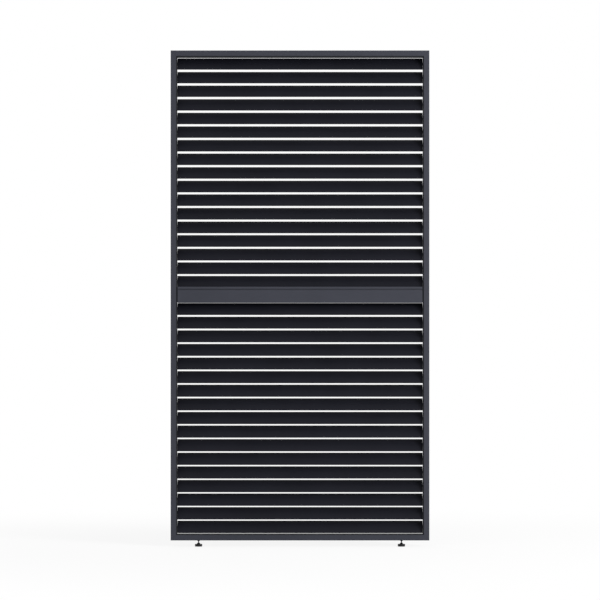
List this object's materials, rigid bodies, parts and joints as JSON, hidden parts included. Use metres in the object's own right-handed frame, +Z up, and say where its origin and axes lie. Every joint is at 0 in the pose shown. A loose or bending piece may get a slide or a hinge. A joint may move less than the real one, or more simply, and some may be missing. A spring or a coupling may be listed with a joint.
{
  "type": "rotating slat room divider",
  "caption": "Floor-standing aluminium screen: mitred frame, two banks of linked rotating slats, a mid rail and levelling feet.",
  "frame": {"origin": "on the floor under the middle of the screen, midway between its front and back faces", "axes": "+Z up, +X to the right and +Y to the back as seen from the front"},
  "size_m": [1.2, 0.07, 2.303],
  "materials": {
    "frame_coat": "anthracite fine-texture powder coat",
    "lining_coat": "dark grey powder coat",
    "slat_coat": "near-black satin powder coat",
    "bare_aluminium": "mill finish",
    "zinc_steel": "zinc plated",
    "dark_steel": "black zinc plated",
    "black_plastic": "moulded nylon"
  },
  "bodies": {
    "frame": {"left_stile": "frame_coat", "right_stile": "frame_coat", "top_rail": "frame_coat", "bottom_rail": "frame_coat", "mid_rail": "frame_coat", "mid_rail_cap": "frame_coat", "mid_rail_end_plates": "lining_coat", "left_bearing_strip": "lining_coat", "right_bearing_strip": "lining_coat", "top_liner": "lining_coat", "bottom_liner": "lining_coat", "corner_cleats": "bare_aluminium", "corner_screws": "zinc_steel", "mid_rail_screws": "zinc_steel", "left_pivot_bushes": "black_plastic", "right_pivot_bushes": "black_plastic", "foot_inserts": "black_plastic"},
    "upper_slat_01": {"upper_slat_01": "slat_coat"},
    "upper_slat_02": {"upper_slat_02": "slat_coat"},
    "upper_slat_03": {"upper_slat_03": "slat_coat"},
    "upper_slat_04": {"upper_slat_04": "slat_coat"},
    "upper_slat_05": {"upper_slat_05": "slat_coat"},
    "upper_slat_06": {"upper_slat_06": "slat_coat"},
    "upper_slat_07": {"upper_slat_07": "slat_coat"},
    "upper_slat_08": {"upper_slat_08": "slat_coat"},
    "upper_slat_09": {"upper_slat_09": "slat_coat"},
    "upper_slat_10": {"upper_slat_10": "slat_coat"},
    "upper_slat_11": {"upper_slat_11": "slat_coat"},
    "upper_slat_12": {"upper_slat_12": "slat_coat"},
    "upper_slat_13": {"upper_slat_13": "slat_coat"},
    "upper_slat_14": {"upper_slat_14": "slat_coat"},
    "upper_slat_15": {"upper_slat_15": "slat_coat"},
    "upper_slat_16": {"upper_slat_16": "slat_coat"},
    "upper_slat_17": {"upper_slat_17": "slat_coat"},
    "lower_slat_01": {"lower_slat_01": "slat_coat"},
    "lower_slat_02": {"lower_slat_02": "slat_coat"},
    "lower_slat_03": {"lower_slat_03": "slat_coat"},
    "lower_slat_04": {"lower_slat_04": "slat_coat"},
    "lower_slat_05": {"lower_slat_05": "slat_coat"},
    "lower_slat_06": {"lower_slat_06": "slat_coat"},
    "lower_slat_07": {"lower_slat_07": "slat_coat"},
    "lower_slat_08": {"lower_slat_08": "slat_coat"},
    "lower_slat_09": {"lower_slat_09": "slat_coat"},
    "lower_slat_10": {"lower_slat_10": "slat_coat"},
    "lower_slat_11": {"lower_slat_11": "slat_coat"},
    "lower_slat_12": {"lower_slat_12": "slat_coat"},
    "lower_slat_13": {"lower_slat_13": "slat_coat"},
    "lower_slat_14": {"lower_slat_14": "slat_coat"},
    "lower_slat_15": {"lower_slat_15": "slat_coat"},
    "lower_slat_16": {"lower_slat_16": "slat_coat"},
    "lower_slat_17": {"lower_slat_17": "slat_coat"},
    "upper_tie": {"upper_tie_bar": "bare_aluminium"},
    "lower_tie": {"lower_tie_bar": "bare_aluminium"},
    "left_stud": {"left_foot_stud": "dark_steel"},
    "left_pad": {"left_foot_pad": "black_plastic"},
    "right_stud": {"right_foot_stud": "dark_steel"},
    "right_pad": {"right_foot_pad": "black_plastic"}
  },
  "joints": [
    {"name": "upper_slat_01_turn", "type": "hinge", "parent": "frame", "child": "upper_slat_01", "pos_m": [0, 0, 1.22979], "axis": [-1, 0, 0], "range_deg": [-32.5, 54]},
    {"name": "upper_slat_02_turn", "type": "hinge", "parent": "frame", "child": "upper_slat_02", "pos_m": [0, 0, 1.29307], "axis": [-1, 0, 0], "range_deg": [-32.5, 54]},
    {"name": "upper_slat_03_turn", "type": "hinge", "parent": "frame", "child": "upper_slat_03", "pos_m": [0, 0, 1.35636], "axis": [-1, 0, 0], "range_deg": [-32.5, 54]},
    {"name": "upper_slat_04_turn", "type": "hinge", "parent": "frame", "child": "upper_slat_04", "pos_m": [0, 0, 1.41964], "axis": [-1, 0, 0], "range_deg": [-32.5, 54]},
    {"name": "upper_slat_05_turn", "type": "hinge", "parent": "frame", "child": "upper_slat_05", "pos_m": [0, 0, 1.48293], "axis": [-1, 0, 0], "range_deg": [-32.5, 54]},
    {"name": "upper_slat_06_turn", "type": "hinge", "parent": "frame", "child": "upper_slat_06", "pos_m": [0, 0, 1.54621], "axis": [-1, 0, 0], "range_deg": [-32.5, 54]},
    {"name": "upper_slat_07_turn", "type": "hinge", "parent": "frame", "child": "upper_slat_07", "pos_m": [0, 0, 1.6095], "axis": [-1, 0, 0], "range_deg": [-32.5, 54]},
    {"name": "upper_slat_08_turn", "type": "hinge", "parent": "frame", "child": "upper_slat_08", "pos_m": [0, 0, 1.67279], "axis": [-1, 0, 0], "range_deg": [-32.5, 54]},
    {"name": "upper_slat_09_turn", "type": "hinge", "parent": "frame", "child": "upper_slat_09", "pos_m": [0, 0, 1.73607], "axis": [-1, 0, 0], "range_deg": [-32.5, 54]},
    {"name": "upper_slat_10_turn", "type": "hinge", "parent": "frame", "child": "upper_slat_10", "pos_m": [0, 0, 1.79936], "axis": [-1, 0, 0], "range_deg": [-32.5, 54]},
    {"name": "upper_slat_11_turn", "type": "hinge", "parent": "frame", "child": "upper_slat_11", "pos_m": [0, 0, 1.86264], "axis": [-1, 0, 0], "range_deg": [-32.5, 54]},
    {"name": "upper_slat_12_turn", "type": "hinge", "parent": "frame", "child": "upper_slat_12", "pos_m": [0, 0, 1.92593], "axis": [-1, 0, 0], "range_deg": [-32.5, 54]},
    {"name": "upper_slat_13_turn", "type": "hinge", "parent": "frame", "child": "upper_slat_13", "pos_m": [0, 0, 1.98921], "axis": [-1, 0, 0], "range_deg": [-32.5, 54]},
    {"name": "upper_slat_14_turn", "type": "hinge", "parent": "frame", "child": "upper_slat_14", "pos_m": [0, 0, 2.0525], "axis": [-1, 0, 0], "range_deg": [-32.5, 54]},
    {"name": "upper_slat_15_turn", "type": "hinge", "parent": "frame", "child": "upper_slat_15", "pos_m": [0, 0, 2.11579], "axis": [-1, 0, 0], "range_deg": [-32.5, 54]},
    {"name": "upper_slat_16_turn", "type": "hinge", "parent": "frame", "child": "upper_slat_16", "pos_m": [0, 0, 2.17907], "axis": [-1, 0, 0], "range_deg": [-32.5, 54]},
    {"name": "upper_slat_17_turn", "type": "hinge", "parent": "frame", "child": "upper_slat_17", "pos_m": [0, 0, 2.24236], "axis": [-1, 0, 0], "range_deg": [-32.5, 54]},
    {"name": "lower_slat_01_turn", "type": "hinge", "parent": "frame", "child": "lower_slat_01", "pos_m": [0, 0, 0.09064], "axis": [-1, 0, 0], "range_deg": [-32.5, 54]},
    {"name": "lower_slat_02_turn", "type": "hinge", "parent": "frame", "child": "lower_slat_02", "pos_m": [0, 0, 0.15393], "axis": [-1, 0, 0], "range_deg": [-32.5, 54]},
    {"name": "lower_slat_03_turn", "type": "hinge", "parent": "frame", "child": "lower_slat_03", "pos_m": [0, 0, 0.21721], "axis": [-1, 0, 0], "range_deg": [-32.5, 54]},
    {"name": "lower_slat_04_turn", "type": "hinge", "parent": "frame", "child": "lower_slat_04", "pos_m": [0, 0, 0.2805], "axis": [-1, 0, 0], "range_deg": [-32.5, 54]},
    {"name": "lower_slat_05_turn", "type": "hinge", "parent": "frame", "child": "lower_slat_05", "pos_m": [0, 0, 0.34379], "axis": [-1, 0, 0], "range_deg": [-32.5, 54]},
    {"name": "lower_slat_06_turn", "type": "hinge", "parent": "frame", "child": "lower_slat_06", "pos_m": [0, 0, 0.40707], "axis": [-1, 0, 0], "range_deg": [-32.5, 54]},
    {"name": "lower_slat_07_turn", "type": "hinge", "parent": "frame", "child": "lower_slat_07", "pos_m": [0, 0, 0.47036], "axis": [-1, 0, 0], "range_deg": [-32.5, 54]},
    {"name": "lower_slat_08_turn", "type": "hinge", "parent": "frame", "child": "lower_slat_08", "pos_m": [0, 0, 0.53364], "axis": [-1, 0, 0], "range_deg": [-32.5, 54]},
    {"name": "lower_slat_09_turn", "type": "hinge", "parent": "frame", "child": "lower_slat_09", "pos_m": [0, 0, 0.59693], "axis": [-1, 0, 0], "range_deg": [-32.5, 54]},
    {"name": "lower_slat_10_turn", "type": "hinge", "parent": "frame", "child": "lower_slat_10", "pos_m": [0, 0, 0.66021], "axis": [-1, 0, 0], "range_deg": [-32.5, 54]},
    {"name": "lower_slat_11_turn", "type": "hinge", "parent": "frame", "child": "lower_slat_11", "pos_m": [0, 0, 0.7235], "axis": [-1, 0, 0], "range_deg": [-32.5, 54]},
    {"name": "lower_slat_12_turn", "type": "hinge", "parent": "frame", "child": "lower_slat_12", "pos_m": [0, 0, 0.78679], "axis": [-1, 0, 0], "range_deg": [-32.5, 54]},
    {"name": "lower_slat_13_turn", "type": "hinge", "parent": "frame", "child": "lower_slat_13", "pos_m": [0, 0, 0.85007], "axis": [-1, 0, 0], "range_deg": [-32.5, 54]},
    {"name": "lower_slat_14_turn", "type": "hinge", "parent": "frame", "child": "lower_slat_14", "pos_m": [0, 0, 0.91336], "axis": [-1, 0, 0], "range_deg": [-32.5, 54]},
    {"name": "lower_slat_15_turn", "type": "hinge", "parent": "frame", "child": "lower_slat_15", "pos_m": [0, 0, 0.97664], "axis": [-1, 0, 0], "range_deg": [-32.5, 54]},
    {"name": "lower_slat_16_turn", "type": "hinge", "parent": "frame", "child": "lower_slat_16", "pos_m": [0, 0, 1.03993], "axis": [-1, 0, 0], "range_deg": [-32.5, 54]},
    {"name": "lower_slat_17_turn", "type": "hinge", "parent": "frame", "child": "lower_slat_17", "pos_m": [0, 0, 1.10321], "axis": [-1, 0, 0], "range_deg": [-32.5, 54]},
    {"name": "upper_tie_bar_swing", "type": "hinge", "parent": "upper_slat_09", "child": "upper_tie", "pos_m": [0.5809, 0.01474, 1.73887], "axis": [-1, 0, 0], "range_deg": [-54, 32.5]},
    {"name": "lower_tie_bar_swing", "type": "hinge", "parent": "lower_slat_09", "child": "lower_tie", "pos_m": [0.5809, 0.01474, 0.59973], "axis": [-1, 0, 0], "range_deg": [-54, 32.5]},
    {"name": "left_foot_screw", "type": "slide", "parent": "frame", "child": "left_stud", "axis": [0, 0, -1], "range_m": [-0.006, 0.01]},
    {"name": "left_pad_swivel", "type": "hinge", "parent": "left_stud", "child": "left_pad", "pos_m": [-0.4715, 0, 0.009], "axis": [0, 0, 1], "continuous": true},
    {"name": "right_foot_screw", "type": "slide", "parent": "frame", "child": "right_stud", "axis": [0, 0, -1], "range_m": [-0.006, 0.01]},
    {"name": "right_pad_swivel", "type": "hinge", "parent": "right_stud", "child": "right_pad", "pos_m": [0.4715, 0, 0.009], "axis": [0, 0, 1], "continuous": true}
  ],
  "couplings": [
    {"joint": "upper_slat_01_turn", "follows": "upper_slat_09_turn", "ratio": 1},
    {"joint": "upper_slat_02_turn", "follows": "upper_slat_09_turn", "ratio": 1},
    {"joint": "upper_slat_03_turn", "follows": "upper_slat_09_turn", "ratio": 1},
    {"joint": "upper_slat_04_turn", "follows": "upper_slat_09_turn", "ratio": 1},
    {"joint": "upper_slat_05_turn", "follows": "upper_slat_09_turn", "ratio": 1},
    {"joint": "upper_slat_06_turn", "follows": "upper_slat_09_turn", "ratio": 1},
    {"joint": "upper_slat_07_turn", "follows": "upper_slat_09_turn", "ratio": 1},
    {"joint": "upper_slat_08_turn", "follows": "upper_slat_09_turn", "ratio": 1},
    {"joint": "upper_slat_10_turn", "follows": "upper_slat_09_turn", "ratio": 1},
    {"joint": "upper_slat_11_turn", "follows": "upper_slat_09_turn", "ratio": 1},
    {"joint": "upper_slat_12_turn", "follows": "upper_slat_09_turn", "ratio": 1},
    {"joint": "upper_slat_13_turn", "follows": "upper_slat_09_turn", "ratio": 1},
    {"joint": "upper_slat_14_turn", "follows": "upper_slat_09_turn", "ratio": 1},
    {"joint": "upper_slat_15_turn", "follows": "upper_slat_09_turn", "ratio": 1},
    {"joint": "upper_slat_16_turn", "follows": "upper_slat_09_turn", "ratio": 1},
    {"joint": "upper_slat_17_turn", "follows": "upper_slat_09_turn", "ratio": 1},
    {"joint": "lower_slat_01_turn", "follows": "lower_slat_09_turn", "ratio": 1},
    {"joint": "lower_slat_02_turn", "follows": "lower_slat_09_turn", "ratio": 1},
    {"joint": "lower_slat_03_turn", "follows": "lower_slat_09_turn", "ratio": 1},
    {"joint": "lower_slat_04_turn", "follows": "lower_slat_09_turn", "ratio": 1},
    {"joint": "lower_slat_05_turn", "follows": "lower_slat_09_turn", "ratio": 1},
    {"joint": "lower_slat_06_turn", "follows": "lower_slat_09_turn", "ratio": 1},
    {"joint": "lower_slat_07_turn", "follows": "lower_slat_09_turn", "ratio": 1},
    {"joint": "lower_slat_08_turn", "follows": "lower_slat_09_turn", "ratio": 1},
    {"joint": "lower_slat_10_turn", "follows": "lower_slat_09_turn", "ratio": 1},
    {"joint": "lower_slat_11_turn", "follows": "lower_slat_09_turn", "ratio": 1},
    {"joint": "lower_slat_12_turn", "follows": "lower_slat_09_turn", "ratio": 1},
    {"joint": "lower_slat_13_turn", "follows": "lower_slat_09_turn", "ratio": 1},
    {"joint": "lower_slat_14_turn", "follows": "lower_slat_09_turn", "ratio": 1},
    {"joint": "lower_slat_15_turn", "follows": "lower_slat_09_turn", "ratio": 1},
    {"joint": "lower_slat_16_turn", "follows": "lower_slat_09_turn", "ratio": 1},
    {"joint": "lower_slat_17_turn", "follows": "lower_slat_09_turn", "ratio": 1},
    {"joint": "upper_tie_bar_swing", "follows": "upper_slat_09_turn", "ratio": -1},
    {"joint": "lower_tie_bar_swing", "follows": "lower_slat_09_turn", "ratio": -1}
  ]
}
